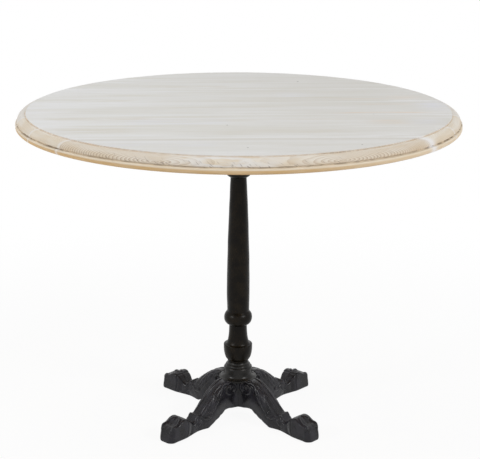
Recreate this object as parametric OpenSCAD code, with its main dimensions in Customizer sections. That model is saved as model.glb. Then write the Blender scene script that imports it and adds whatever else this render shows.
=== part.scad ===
// Round bistro table: an edge-glued plank top on a cast-iron pedestal with four scrolled legs.
// Millimetres. +Z is up, the floor is z = 0, the column stands on the Z axis and the front is -Y.

/* [Overall] */
// Height of the table, floor to top face
table_height = 756; // [730:1:780]
// Diameter of the top
top_diameter = 1016; // [960:1:1080]
// Distance from the column's axis to the tip of a toe
leg_reach = 247; // [235:1:265]

/* [Top] */
// Thickness of the boards
top_thickness = 34; // [32:1:40]
// Angle of the boards to the front of the table
top_turn = 1; // [-10:1:10]
// Distance from the centre to the joint of the front board
front_joint = 325; // [300:1:340]
// Width of the quarter-round on the rim
rim_roll = 20; // [16:0.5:21]
// Height of the quarter-round on the rim
rim_drop = 16.5; // [14:0.5:18]
// Step from the top face down to the quarter-round
rim_quirk = 2.5; // [1.5:0.5:3.5]
// How far the lower lip stands out past the quarter-round
rim_lip = 3.5; // [2:0.5:5]
// Thickness of the loose tongues in the board joints
tongue_thickness = 6; // [4:0.5:8]
// Width of the loose tongues, across the joint
tongue_width = 20; // [14:1:24]

/* [Spider bracket] */
// Length of an arm, from the axis to its tip
arm_length = 190; // [170:1:230]
// Width of an arm at its tip
arm_width = 28; // [24:1:34]
// Thickness of the arms' flange
arm_thickness = 6; // [5:0.5:8]
// Depth of the bracket's boss
boss_depth = 32; // [28:1:38]
// Radius of the boss
boss_radius = 31; // [29:0.5:34]
// Radius of the wood screws' shanks
screw_radius = 2.5; // [2:0.25:3]
// How far the wood screws reach into the top, which stops short of the tongues
screw_bite = 12; // [9:0.5:13]

/* [Column] */
// Radius of the shaft where it swells
shaft_radius = 27.1; // [25:0.1:29]
// Radius of the shaft's neck under the capital
neck_radius = 18.9; // [17.5:0.1:21]
// Radius of the two turned rings
ring_radius = 33.5; // [31:0.5:36]
// Radius of the bulb at the foot of the column
bulb_radius = 34.2; // [31:0.1:36]
// Radius of the bore through the column
column_bore = 13; // [11:0.5:14]

/* [Tie rod] */
// Radius of the rod
rod_radius = 6; // [5:0.5:6.5]
// Width of its nuts across the flats
rod_nut_flats = 19; // [17:1:20]
// Height of its nuts
rod_nut_height = 10; // [8:0.5:11]
// Radius of its washers
rod_washer_radius = 14; // [12:0.5:15]
// Thickness of all washers
washer_thickness = 2; // [1:0.5:2.5]

/* [Base] */
// Radius of the collar's rim
collar_radius = 45; // [43:0.5:48]
// Height of the collar's seat above the floor
seat_height = 94; // [88:1:100]
// Height of the collar
collar_height = 43; // [42:1:50]
// Half thickness of a leg at the hub
leg_half = 18; // [17:0.5:20]
// Half width of a foot
foot_half = 23; // [21:0.5:26]
// Height of the soles above the floor
sole_height = 3; // [3:0.5:5]
// Distance from the axis to the leg bolts
bolt_circle = 31; // [29:0.5:33]
// Radius of the leg bolts
bolt_radius = 3; // [2.5:0.25:3.5]
// How far the leg bolts reach into the collar
bolt_bite = 14; // [10:1:18]

/* [Levelling glides] */
// Distance from the tip of the toe back to the glide
glide_inset = 38; // [34:1:44]
// Radius of the pad
pad_radius = 14; // [12:0.5:17]
// Thickness of the pad's disc
pad_thickness = 2.4; // [2:0.1:2.8]
// Radius of the threaded stem
stem_radius = 4; // [3:0.5:5]
// Length of the threaded part of the stem
stem_length = 26; // [22:1:28]

/* [Hidden] */
$fn = 96;

wood = "#dcd7cd";
iron = "#333236";
steel = "#8d9095";
nylon = "#26262a";

fit = 0.1;           // radial clearance of screws, bolts and spigots
mitre_gap = 0.1;     // clearance on each mitred face between the legs
past = 1;            // how far a cut runs past the surface it opens
rod_well_room = 2;   // room round the tie rod's washers in their wells

front_left = 225;
front_right = 315;
back_left = 135;
back_right = 45;

// Heights up the table
top_under = table_height - top_thickness;
column_top = top_under - boss_depth;
collar_top = seat_height + collar_height;

// ---------------------------------------------------------------- curves

// Points of an arc about (x, y), from angle a to angle b
function arc(x, y, r, a, b, n = 12) = oval(x, y, r, r, a, b, n);

// Points of an elliptical arc about (x, y)
function oval(x, y, rx, ry, a, b, n = 12) =
    [for (i = [0:n]) let (t = a + (b - a) * i / n) [x + rx * cos(t), y + ry * sin(t)]];

// Smooth curve through a table of [x, y] rows
function row_at(x, t) = max([for (k = [0:len(t) - 2]) if (k == 0 || x >= t[k][0]) k]);
function slope(t, a, b) = (t[b][1] - t[a][1]) / (t[b][0] - t[a][0]);
function slope_at(t, k) = slope(t, max(k - 1, 0), min(k + 1, len(t) - 1));
function curve(x, t) =
    let (k = row_at(x, t), h = t[k + 1][0] - t[k][0], u = min(max((x - t[k][0]) / h, 0), 1))
    (2 * u ^ 3 - 3 * u ^ 2 + 1) * t[k][1] + (u ^ 3 - 2 * u ^ 2 + u) * h * slope_at(t, k)
    + (3 * u ^ 2 - 2 * u ^ 3) * t[k + 1][1] + (u ^ 3 - u ^ 2) * h * slope_at(t, k + 1);

module hex_prism(flats, h) {
    cylinder(r = flats / 2 / cos(30), h = h, $fn = 6);
}

module ring(outer, inner, h) {
    difference() {
        cylinder(r = outer, h = h);
        translate([0, 0, -past]) cylinder(r = inner, h = h + 2 * past);
    }
}

// ---------------------------------------------------------------- top

board_widths = [110, 127, 158, 170, 130];   // the boards between the front one and the back one
function sum_to(list, n) = n == 0 ? 0 : list[n - 1] + sum_to(list, n - 1);
// Joint lines of the boards, from front to back
joints = [for (i = [0:len(board_widths)]) sum_to(board_widths, i) - front_joint];
rim = top_diameter / 2;
face_radius = rim - rim_lip - rim_roll;
roll_foot = table_height - rim_quirk - rim_drop;
lip_round = 3;       // radius of the lip's upper edge
lip_groove = 2.5;    // depth and height of the groove over the lip
under_bevel = 6;     // bevel from the lip to the underside
tongue_stop = 60;    // distance from the rim to the end of a tongue
tongue_slack = 0.2;  // room around a tongue in its groove

module top_blank() {
    rotate_extrude($fn = 180)
        polygon(concat(
            [[0, top_under], [0, table_height], [face_radius, table_height]],
            oval(face_radius, roll_foot, rim_roll, rim_drop, 90, 0),
            [[face_radius + rim_roll - lip_groove, roll_foot - lip_groove]],
            arc(rim - lip_round, roll_foot - lip_groove - lip_round, lip_round, 90, 0, 4),
            [[rim, top_under + under_bevel], [rim - under_bevel, top_under]]
        ));
}

function tongue_half(y) = sqrt((rim - tongue_stop) ^ 2 - y ^ 2);

// A tongue in the joint at y, or its groove when room is above 0
module tongue(y, room = 0) {
    half = tongue_half(y) + room;
    under = top_under + (top_thickness - tongue_thickness) / 2;
    translate([-half, y - tongue_width / 2 - room, under - room])
        cube([2 * half, tongue_width + 2 * room, tongue_thickness + 2 * room]);
}

module plank(number) {
    low = number == 1 ? -rim - past : joints[number - 2];
    high = number == len(joints) + 1 ? rim + past : joints[number - 1];
    color(wood) difference() {
        rotate([0, 0, top_turn]) difference() {
            intersection() {
                top_blank();
                translate([-rim - past, low, top_under - past])
                    cube([2 * (rim + past), high - low, top_thickness + 2 * past]);
            }
            for (y = joints) tongue(y, tongue_slack);
        }
        each_screw() translate([0, 0, -past])
            cylinder(r = screw_radius + fit, h = screw_bite + 2 * past, $fn = 24);
    }
}

module joint_tongues() {
    color(wood) rotate([0, 0, top_turn]) for (y = joints) tongue(y);
}

// ---------------------------------------------------------------- spider bracket and its screws

screw_inset = [16, 80];          // distance from an arm's tip back to each screw
screw_head = 2 * screw_radius;   // radius of a screw's head
screw_head_height = 2.6;
arm_root = 40;                   // width of an arm at the boss
rib_width = 8;
spigot_height = 6;               // how deep the column's spigot enters the boss
spigot_wall = 8;
spigot_gap = 0.3;                // gap over the spigot's end

// Places its children at the underside of the top, on each screw's axis
module each_screw() {
    for (a = [0:90:270], inset = screw_inset)
        rotate([0, 0, a]) translate([arm_length - inset, 0, top_under]) children();
}

module spider_arm() {
    // flange, tapering to a round tip
    translate([0, 0, top_under - arm_thickness]) linear_extrude(arm_thickness) {
        polygon([[0, -arm_root / 2], [arm_length - arm_width / 2, -arm_width / 2],
            [arm_length - arm_width / 2, arm_width / 2], [0, arm_root / 2]]);
        translate([arm_length - arm_width / 2, 0]) circle(r = arm_width / 2, $fn = 48);
    }
    // rib under the flange, stopping short of the outer screw
    translate([0, rib_width / 2, 0]) rotate([90, 0, 0]) linear_extrude(rib_width)
        polygon([[0, column_top + spigot_height], [boss_radius, column_top + spigot_height],
            [arm_length - screw_inset[1] - 2 * screw_head, top_under - arm_thickness],
            [0, top_under - arm_thickness]]);
}

module spider_bracket() {
    nut_well = rod_washer_radius + rod_well_room;
    color(iron) difference() {
        union() {
            translate([0, 0, column_top]) cylinder(r = boss_radius, h = boss_depth);
            for (a = [0:90:270]) rotate([0, 0, a]) spider_arm();
        }
        // socket over the column's spigot
        translate([0, 0, column_top - past])
            cylinder(r = column_bore + spigot_wall + fit, h = spigot_height + past);
        // rod hole, and the well for its washer and nut
        translate([0, 0, column_top]) cylinder(r = rod_radius + fit, h = boss_depth + past);
        translate([0, 0, rod_shelf]) cylinder(r = nut_well, h = boss_depth);
        each_screw() translate([0, 0, -arm_thickness - past])
            cylinder(r = screw_radius + fit, h = arm_thickness + 2 * past, $fn = 24);
    }
}

module top_screws() {
    color(steel) each_screw() {
        translate([0, 0, -arm_thickness - screw_head_height])
            cylinder(r = screw_head, h = screw_head_height, $fn = 32);
        translate([0, 0, -arm_thickness])
            cylinder(r = screw_radius, h = arm_thickness + screw_bite, $fn = 24);
    }
}

// ---------------------------------------------------------------- column

column_foot = 22.4;    // radius of the column where it stands on the collar
bulb_height = 36;      // from the column's foot to the bulb's widest circle
bulb_edge = 8;         // height of the bulb's upright edge
vase_foot = 30;        // radius of the vase where it leaves the bulb
vase_height = 50;      // height of the vase's hollow
vase_neck = 21.2;      // radius of the vase's neck
neck_rise = 4;         // upright part of the vase's neck
ring_half = 17;        // half height of the lower ring
swell_rise = 54;       // from the lower ring's top to the shaft's widest circle
shaft_foot = 26.1;     // radius of the shaft where it leaves the lower ring
taper_power = 1.6;     // how late the shaft's taper sets in
capital_ring = 30;     // radius of the ring under the capital
capital_ring_half = 14;
capital_ring_rise = 18;   // from the neck to that ring's middle
capital_drum = 23;     // radius of the drum over that ring
drum_foot = 33;        // from the neck to the drum's foot
drum_height = 25;
capital_lip = 32;      // radius of the column's top
capital_cove = 34;     // height of the hollow under the column's top
lip_height = 8;        // height of the column's upright lip
foot_fillet = 3;       // upright part of the column's foot
step_drop = 1;         // slope of the bulb's small shoulder

vase_base = collar_top + bulb_height + bulb_edge;
ring_base = vase_base + vase_height;
shaft_base = ring_base + 2 * ring_half;
swell = shaft_base + swell_rise;
neck = column_top - drum_foot - drum_height - capital_cove - lip_height;

column_profile = concat(
    [[0, collar_top], [column_foot, collar_top], [column_foot, collar_top + foot_fillet]],
    oval(column_foot, collar_top + bulb_height, bulb_radius - column_foot, bulb_height - foot_fillet,
        -90, 0, 14),
    [[bulb_radius - step_drop, vase_base - step_drop], [vase_foot + step_drop, vase_base]],
    oval(vase_foot, ring_base - neck_rise, vase_foot - vase_neck, vase_height - neck_rise, 270, 180, 14),
    [[vase_neck, ring_base]],
    oval(vase_neck, ring_base + ring_half, ring_radius - vase_neck, ring_half, -90, 40, 14),
    [[shaft_foot, shaft_base]],
    [for (i = [1:6])
        [shaft_foot + (shaft_radius - shaft_foot) * sin(15 * i), shaft_base + swell_rise * i / 6]],
    [for (i = [1:20])
        [shaft_radius - (shaft_radius - neck_radius) * (i / 20) ^ taper_power,
            swell + (neck - swell) * i / 20]],
    oval(neck_radius, neck + capital_ring_rise, capital_ring - neck_radius, capital_ring_half, -90, 90, 14),
    [[capital_drum, neck + drum_foot], [capital_drum, neck + drum_foot + drum_height]],
    oval(capital_lip, neck + drum_foot + drum_height, capital_lip - capital_drum, capital_cove, 180, 90, 10),
    [[capital_lip, column_top], [0, column_top]]
);

module column() {
    color(iron) difference() {
        union() {
            rotate_extrude() polygon(column_profile);
            translate([0, 0, column_top - past])
                cylinder(r = column_bore + spigot_wall, h = spigot_height + past - spigot_gap);
        }
        translate([0, 0, collar_top - past])
            cylinder(r = column_bore, h = column_top - collar_top + spigot_height + 2 * past);
    }
}

// ---------------------------------------------------------------- tie rod

boss_floor = 6;                               // thickness of the boss's floor over the spigot
rod_shelf = column_top + spigot_height + boss_floor;   // where the top washer bears
hub_seat = 44;                                // from the collar's seat down to the bottom washer
rod_foot = seat_height - hub_seat;            // where the bottom washer bears
rod_spare = 3;                                // thread that shows past each nut
rod_low = rod_foot - washer_thickness - rod_nut_height - rod_spare;
rod_high = rod_shelf + washer_thickness + rod_nut_height + rod_spare;

module tie_rod() {
    color(steel) translate([0, 0, rod_low]) cylinder(r = rod_radius, h = rod_high - rod_low);
}

module rod_nut(z) {
    color(steel) translate([0, 0, z]) difference() {
        hex_prism(rod_nut_flats, rod_nut_height);
        translate([0, 0, -past]) cylinder(r = rod_radius + fit, h = rod_nut_height + 2 * past);
    }
}

module rod_washer(z) {
    color(steel) translate([0, 0, z]) ring(rod_washer_radius, rod_radius + fit, washer_thickness);
}

// ---------------------------------------------------------------- base collar

collar_neck = 22;        // radius of the collar's top
collar_band = 34.2;      // radius of the upright band
collar_rim = 4;          // height of the collar's upright rim
rim_edge = 1;            // bevel under the rim
cove_height = 11;        // height of the hollow over the rim
step_heights = [5, 6, 7];  // heights of the three stepped rings, from the top down
ring_rounds = [5, 5, 6];   // heights of their rounded shoulders
spigot_room = 0.2;
collar_spigot = 8;       // height of the spigot inside the column
bolt_hole_spare = 2;     // how much deeper a bolt's hole is than its bolt

module base_collar() {
    step = (collar_band - collar_neck) / 3;
    z = seat_height;
    top = collar_top;
    first = top - step_heights[0];
    second = first - step_heights[1];
    third = second - step_heights[2];
    cove_foot = z + collar_rim;
    spigot_radius = column_bore - spigot_room;
    color(iron) difference() {
        rotate_extrude() polygon(concat(
            [[0, z], [collar_radius - rim_edge, z]],
            [[collar_radius, z + rim_edge], [collar_radius, cove_foot]],
            oval(collar_radius, cove_foot + cove_height, collar_radius - collar_band, cove_height,
                270, 180, 10),
            [[collar_band, third]],
            oval(collar_band - step, third, step, ring_rounds[2], 0, 90, 5),
            oval(collar_band - 2 * step, second, step, ring_rounds[1], 0, 90, 5),
            oval(collar_band - 3 * step, first, step, ring_rounds[0], 0, 90, 5),
            [[spigot_radius, top], [spigot_radius, top + collar_spigot], [0, top + collar_spigot]]
        ));
        translate([0, 0, z - past])
            cylinder(r = rod_radius + fit, h = collar_height + collar_spigot + 2 * past);
        each_leg() translate([bolt_circle, 0, z - past])
            cylinder(r = bolt_radius + fit, h = bolt_bite + bolt_hole_spare + past, $fn = 32);
    }
}

// ---------------------------------------------------------------- legs

module each_leg() {
    for (a = [back_right, back_left, front_left, front_right]) rotate([0, 0, a]) children();
}

hub_belly = 0.28;      // underside of the hub, as a share of the collar seat's height
// The leg's outline, as shares of the way from the axis to the toe's tip.
// Crest and belly are shares of the height from the sole up to the collar's seat.
crest = [
    [0, 1.04], [0.18, 1.05], [0.23, 1.05], [0.28, 1.01], [0.35, 0.91], [0.425, 0.76], [0.5, 0.59],
    [0.55, 0.475], [0.585, 0.41], [0.605, 0.45], [0.625, 0.43], [0.645, 0.34], [0.67, 0.30],
    [0.7, 0.335], [0.73, 0.415], [0.775, 0.495], [0.82, 0.52], [0.86, 0.49], [0.91, 0.43],
    [0.96, 0.415], [0.985, 0.38], [1, 0.33]
];
belly = [
    [0, hub_belly], [0.08, hub_belly], [0.14, 0.27], [0.2, 0.30], [0.25, 0.30], [0.3, 0.235],
    [0.375, 0.14], [0.43, 0.07], [0.475, 0.012], [0.53, 0], [1, 0]
];
// Half width, as shares of the hub's half thickness up to the ankle, then of the foot's
ankle = 0.62;
flank = [[0, 1], [0.24, 1], [0.38, 1.1], [0.48, 1.05], [0.56, 0.95], [ankle, 0.86]];
foot_flank = [[ankle, 0.67], [0.68, 0.78], [0.76, 0.94], [0.84, 1], [0.945, 1]];
// Half width of the crest, as shares of the foot's half width
crest_half = [
    [0, 0.74], [0.12, 0.65], [0.2, 0.43], [0.3, 0.33], [0.45, 0.33], [0.56, 0.39], [0.61, 0.52],
    [0.66, 0.43], [0.74, 0.65], [0.83, 0.78], [0.94, 0.78], [1, 0.3]
];
// Drop of the crest's shoulders, as shares of the leg's height
shoulder = [
    [0, 0.02], [0.12, 0.065], [0.2, 0.13], [0.3, 0.185], [0.45, 0.175], [0.56, 0.13], [0.62, 0.1],
    [0.7, 0.075], [0.8, 0.055], [1, 0.045]
];
toe_corner = 13;       // radius of the toe's corners, seen from above
toe_flat = 0.2;        // how much of the round toe is left flat
toe_lean = 0.17;       // how much the toe leans back as it rises
leg_stations = 64;
hub_start = 9;         // half width of the square core between the legs
belly_edge = 2;        // bevel along the underside
edge_round = 0.5;      // least width and height of the crest's shoulders
crown = 0.1;           // how far the crest swells in its middle

function leg_z(share) = sole_height + share * (seat_height - sole_height);
function toe_half(x) =
    let (into = max(x - (leg_reach - toe_corner), 0))
    foot_half - toe_corner + sqrt(max(toe_corner ^ 2 - into ^ 2, 0));
function leg_width(x) =
    let (
        s = x / leg_reach,
        along_leg = leg_half * curve(s, flank),
        along_foot = min(foot_half * curve(s, foot_flank), toe_half(x))
    )
    min(x - mitre_gap, s < ankle ? along_leg : along_foot);
// Leans the toe back, more towards its tip
function leaned(x, z) = x - toe_lean * (z - sole_height) * max((x / leg_reach - 0.78) / 0.22, 0) ^ 2;

// One cross-section of the leg at x from the axis, as a ring of points
function leg_section(x) =
    let (
        s = x / leg_reach,
        top = leg_z(curve(s, crest)),
        low = leg_z(max(curve(s, belly), 0)),
        w = leg_width(x),
        c = min(foot_half * curve(s, crest_half), w - edge_round),
        drop = (seat_height - sole_height) * curve(s, shoulder),
        side = concat(
            [[w - belly_edge, low], [w, low + belly_edge]],
            oval(c, top - drop, w - c, drop - edge_round, 0, 90, 5),
            [[c / 2, top]]
        ),
        n = len(side)
    )
    [for (p = concat(side, [[0, top + crown]], [for (i = [n - 1:-1:0]) [-side[i][0], side[i][1]]]))
        [leaned(x, p[1]), p[0], p[1]]];

module leg_body() {
    // even stations, closer together round the toe's corners
    body_end = leg_reach - toe_corner;
    stations = concat(
        [for (i = [0:leg_stations]) hub_start + (body_end - hub_start) * i / leg_stations],
        [for (a = [18:18:72]) body_end + toe_corner * sin(a)],
        [leg_reach - toe_flat]
    );
    rings = [for (x = stations) leg_section(x)];
    n = len(rings[0]);
    last = len(rings) - 1;
    polyhedron(
        points = [for (r = rings) each r],
        faces = concat(
            [[for (i = [0:n - 1]) i]],
            [for (k = [0:last - 1], i = [0:n - 1])
                let (a = k * n + i, b = k * n + (i + 1) % n)
                each [[b, a, a + n], [b, a + n, b + n]]],
            [[for (i = [n - 1:-1:0]) last * n + i]]
        )
    );
}

volute_radius = 12;     // radius of the scroll's outer turn
volute_wire = 3;        // radius of the scroll's section
volute_place = 40;      // from the axis to the scroll's centre
volute_drop = 17;       // from the collar's seat down to the scroll's centre
volute_eye = 3.5;       // radius of the ball in the scroll's eye

// Half a turn of the scroll about (x, 0), starting at angle a
module half_turn(x, r, a) {
    translate([x, 0]) rotate([0, 0, a]) rotate_extrude(angle = 180, $fn = 48)
        translate([r, 0]) circle(r = volute_wire, $fn = 16);
}

// The scroll on each flank of a leg: three half turns, each two thirds of the last or less, and an eye
module volutes() {
    for (side = [-1, 1])
        translate([volute_place, side * (leg_half - 1), seat_height - volute_drop]) rotate([90, 0, 0]) {
            half_turn(0, volute_radius, 0);
            half_turn(-volute_radius / 3, volute_radius * 2 / 3, 180);
            half_turn(0, volute_radius / 3, 0);
            translate([volute_radius, 0, 0]) sphere(r = volute_wire, $fn = 24);
            translate([-volute_radius / 3, 0, 0]) sphere(r = volute_eye, $fn = 24);
        }
}

glide_place = leg_reach - glide_inset;
collar_room = 0.4;       // gap round the collar's rim
bolt_head_height = 4;
bolt_head_flats = 10;
bolt_lift = 15;          // from the hub's underside up to a leg bolt's washer
bolt_shelf = leg_z(hub_belly) + bolt_lift;   // where a leg bolt's washer bears
bolt_head_room = 1.2;    // room round a bolt's head in its well
washer_room = 0.6;       // room round a leg bolt's washer
bolt_well = bolt_head_flats / 2 / cos(30) + bolt_head_room;

module leg(angle) {
    color(iron) rotate([0, 0, angle]) difference() {
        union() {
            leg_body();
            volutes();
        }
        // seat of the collar
        translate([0, 0, seat_height]) cylinder(r = collar_radius + collar_room, h = seat_height);
        // well for the tie rod's bottom washer and nut
        translate([0, 0, -past]) cylinder(r = rod_washer_radius + rod_well_room, h = rod_foot + past);
        // leg bolt and its well
        translate([bolt_circle, 0, 0]) cylinder(r = bolt_radius + fit, h = seat_height + past, $fn = 32);
        translate([bolt_circle, 0, 0]) cylinder(r = bolt_well, h = bolt_shelf, $fn = 48);
        // glide's recess and threaded hole
        translate([glide_place, 0, 0]) cylinder(r = recess_radius, h = recess_top, $fn = 48);
        translate([glide_place, 0, 0])
            cylinder(r = stem_radius + fit, h = recess_top + stem_length + stem_spare, $fn = 32);
    }
}

module leg_bolts() {
    color(steel) each_leg() translate([bolt_circle, 0, bolt_shelf - washer_thickness]) {
        translate([0, 0, -bolt_head_height]) hex_prism(bolt_head_flats, bolt_head_height);
        cylinder(r = bolt_radius, h = seat_height - bolt_shelf + washer_thickness + bolt_bite, $fn = 32);
    }
}

module leg_bolt_washers() {
    color(steel) each_leg() translate([bolt_circle, 0, bolt_shelf - washer_thickness])
        ring(bolt_well - washer_room, bolt_radius + fit, washer_thickness);
}

// ---------------------------------------------------------------- levelling glides

stem_spare = 2;                            // how much deeper a stem's hole is than its stem
hub_height = 2;                            // height of the pad's hub over its disc
socket_floor = 1;                          // thickness of the pad under the stem's foot
stem_foot_height = 1.6;
stem_foot = stem_radius + 1;               // radius of the foot that turns in the pad
stem_neck = stem_radius - 0.8;             // neck between the stem's foot and its hexagon
hub_wall = 2.4;                            // wall of the pad's hub round the stem's foot
hub_radius = stem_foot + hub_wall;          // radius of the hub on the pad
pad_edge = 0.8;                            // bevel round the pad's sole
neck_overlap = 0.5;                        // how far the neck runs into the hexagon
hex_gap = 0.3;                             // gap between the hub and the hexagon
recess_room = 0.8;                         // room round the hub and the hexagon in the foot's recess
recess_gap = 0.2;                          // gap between the hexagon and the foot
turn_room = 0.15;                          // end play of the stem's foot in the pad
foot_room = 0.3;                           // room round the stem's foot
hub_top = pad_thickness + hub_height;
hex_flats = 2 * stem_radius + 3;           // the stem's spanner flats
hex_height = 3;
hex_low = hub_top + hex_gap;
recess_top = hex_low + hex_height + recess_gap;
recess_radius = max(hex_flats / 2 / cos(30), hub_radius) + recess_room;

module glide_pad(angle) {
    foot_top = socket_floor + stem_foot_height + 2 * turn_room;
    color(nylon) rotate([0, 0, angle]) translate([glide_place, 0, 0]) difference() {
        union() {
            cylinder(r1 = pad_radius - pad_edge, r2 = pad_radius, h = pad_edge);
            translate([0, 0, pad_edge]) cylinder(r = pad_radius, h = pad_thickness - pad_edge);
            cylinder(r = hub_radius, h = hub_top);
        }
        translate([0, 0, socket_floor])
            cylinder(r = stem_foot + foot_room, h = foot_top - socket_floor, $fn = 48);
        translate([0, 0, socket_floor]) cylinder(r = stem_neck + fit, h = hub_top, $fn = 48);
    }
}

module glide_stem(angle) {
    foot_low = socket_floor + turn_room;
    color(steel) rotate([0, 0, angle]) translate([glide_place, 0, 0]) {
        translate([0, 0, foot_low]) cylinder(r = stem_foot, h = stem_foot_height, $fn = 48);
        translate([0, 0, foot_low]) cylinder(r = stem_neck, h = hex_low - foot_low + neck_overlap, $fn = 32);
        translate([0, 0, hex_low]) hex_prism(hex_flats, hex_height);
        translate([0, 0, hex_low]) cylinder(r = stem_radius, h = hex_height + stem_length, $fn = 32);
    }
}

// ---------------------------------------------------------------- the pieces

plank(1);  // plank_1
plank(2);  // plank_2
plank(3);  // plank_3
plank(4);  // plank_4
plank(5);  // plank_5
plank(6);  // plank_6
plank(7);  // plank_7
joint_tongues();
spider_bracket();
top_screws();
column();
base_collar();
tie_rod();
rod_nut(rod_shelf + washer_thickness);  // tie_rod_top_nut
rod_washer(rod_shelf);  // tie_rod_top_washer
rod_nut(rod_foot - washer_thickness - rod_nut_height);  // tie_rod_bottom_nut
rod_washer(rod_foot - washer_thickness);  // tie_rod_bottom_washer
leg(front_left);  // leg_front_left
leg(front_right);  // leg_front_right
leg(back_left);  // leg_back_left
leg(back_right);  // leg_back_right
leg_bolts();
leg_bolt_washers();
glide_pad(front_left);  // glide_pad_front_left
glide_pad(front_right);  // glide_pad_front_right
glide_pad(back_left);  // glide_pad_back_left
glide_pad(back_right);  // glide_pad_back_right
glide_stem(front_left);  // glide_stem_front_left
glide_stem(front_right);  // glide_stem_front_right
glide_stem(back_left);  // glide_stem_back_left
glide_stem(back_right);  // glide_stem_back_right
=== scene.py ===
from math import cos, pi, radians, sin
from types import SimpleNamespace

import bmesh
import bpy
import numpy as np
from mathutils import Matrix, Vector


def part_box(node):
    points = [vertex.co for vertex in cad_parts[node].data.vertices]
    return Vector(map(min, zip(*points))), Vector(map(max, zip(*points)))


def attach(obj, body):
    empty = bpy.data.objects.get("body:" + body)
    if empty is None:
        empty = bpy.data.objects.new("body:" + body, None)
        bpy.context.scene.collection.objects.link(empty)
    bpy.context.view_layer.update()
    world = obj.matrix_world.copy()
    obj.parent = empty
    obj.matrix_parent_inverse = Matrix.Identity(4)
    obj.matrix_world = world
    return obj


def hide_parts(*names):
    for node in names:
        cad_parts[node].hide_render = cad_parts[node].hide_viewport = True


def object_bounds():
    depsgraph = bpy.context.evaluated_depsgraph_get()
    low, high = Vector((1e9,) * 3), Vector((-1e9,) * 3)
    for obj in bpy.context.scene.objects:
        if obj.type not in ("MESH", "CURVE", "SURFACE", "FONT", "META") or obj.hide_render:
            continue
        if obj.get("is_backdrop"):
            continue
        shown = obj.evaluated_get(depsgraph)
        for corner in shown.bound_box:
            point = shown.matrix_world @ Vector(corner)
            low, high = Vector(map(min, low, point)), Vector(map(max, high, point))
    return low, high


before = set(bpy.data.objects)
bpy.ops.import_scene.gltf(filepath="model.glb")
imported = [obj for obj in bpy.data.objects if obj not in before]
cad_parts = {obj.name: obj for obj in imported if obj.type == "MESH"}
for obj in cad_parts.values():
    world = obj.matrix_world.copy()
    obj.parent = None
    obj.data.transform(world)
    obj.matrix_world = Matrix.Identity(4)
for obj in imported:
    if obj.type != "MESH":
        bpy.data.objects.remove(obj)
cadLow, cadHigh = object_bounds()
print("frame loaded:", len(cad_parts), "nodes")

mm = 0.001
weld = 4e-6                      # metres within which two points are one

# Heights and radii that the new pieces share with the frame
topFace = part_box("plank_3")[1].z
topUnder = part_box("plank_3")[0].z
rimRadius = cadHigh.y
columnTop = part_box("spider_bracket")[0].z
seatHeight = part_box("base_collar")[0].z
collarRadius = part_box("base_collar")[1].x
collarTop = seatHeight / mm + 43  # where the column stands on the collar, in millimetres


# Smooth curve through rows of (x, y): on each span the cubic that meets both rows with their mean slopes
def curve(x, rows):
    table = np.array(rows, float)
    xs, ys = table[:, 0], table[:, 1]
    last = len(xs) - 1
    before = np.maximum(np.arange(last + 1) - 1, 0)
    after = np.minimum(np.arange(last + 1) + 1, last)
    slope = (ys[after] - ys[before]) / (xs[after] - xs[before])
    k = np.clip(np.searchsorted(xs, x, side="right") - 1, 0, last - 1)
    h = xs[k + 1] - xs[k]
    u = np.clip((x - xs[k]) / h, 0, 1)
    rise = (2 * u**3 - 3 * u**2 + 1) * ys[k] + (3 * u**2 - 2 * u**3) * ys[k + 1]
    return rise + (u**3 - 2 * u**2 + u) * h * slope[k] + (u**3 - u**2) * h * slope[k + 1]


# Eased step from 0 at low to 1 at high: three times the share squared less twice its cube
def ease(x, low, high):
    u = np.clip((np.asarray(x) - low) / (high - low), 0, 1)
    return u * u * (3 - 2 * u)


# Bell of height 1 about centre: e to the minus squared distance in widths
def bell(x, centre, width):
    return np.exp(-(((np.asarray(x) - centre) / width) ** 2))


# Points of an arc of an ellipse, from angle a to angle b in degrees, as rows of (x, y)
def arc(x, y, rx, ry, a, b, count):
    t = np.radians(np.linspace(a, b, count))
    return np.stack([x + rx * np.cos(t), y + ry * np.sin(t)], 1)


# Closely spaced points along a smooth path through a few given ones: a cubic through every four neighbours
def smoothPath(points, perSpan=12):
    p = np.array(points, float)
    p = np.concatenate([2 * p[:1] - p[1:2], p, 2 * p[-1:] - p[-2:-1]])
    u = np.linspace(0, 1, perSpan, endpoint=False)[None, :, None]
    a, b, c, d = (p[i : len(p) - 3 + i, None] for i in range(4))
    spans = 0.5 * (2 * b + (c - a) * u + (2 * a - 5 * b + 4 * c - d) * u**2 + (3 * b - a - 3 * c + d) * u**3)
    return np.concatenate([spans.reshape(-1, p.shape[1]), p[-2:-1]])


# Faces of a grid of rows by columns, either way round joined up where asked
def gridFaces(rows, columns, loopRows=False, loopColumns=False):
    i = np.arange(rows if loopRows else rows - 1)[:, None]
    j = np.arange(columns if loopColumns else columns - 1)[None, :]
    ni, nj = (i + 1) % rows, (j + 1) % columns
    corners = [i * columns + j, i * columns + nj, ni * columns + nj, ni * columns + j]
    return np.stack([np.broadcast_to(c, (i.size, j.size)) for c in corners], -1).reshape(-1, 4)


# A new object with the given data, in the scene
def added(name, data):
    made = bpy.data.objects.new(name, data)
    bpy.context.scene.collection.objects.link(made)
    return made


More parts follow.
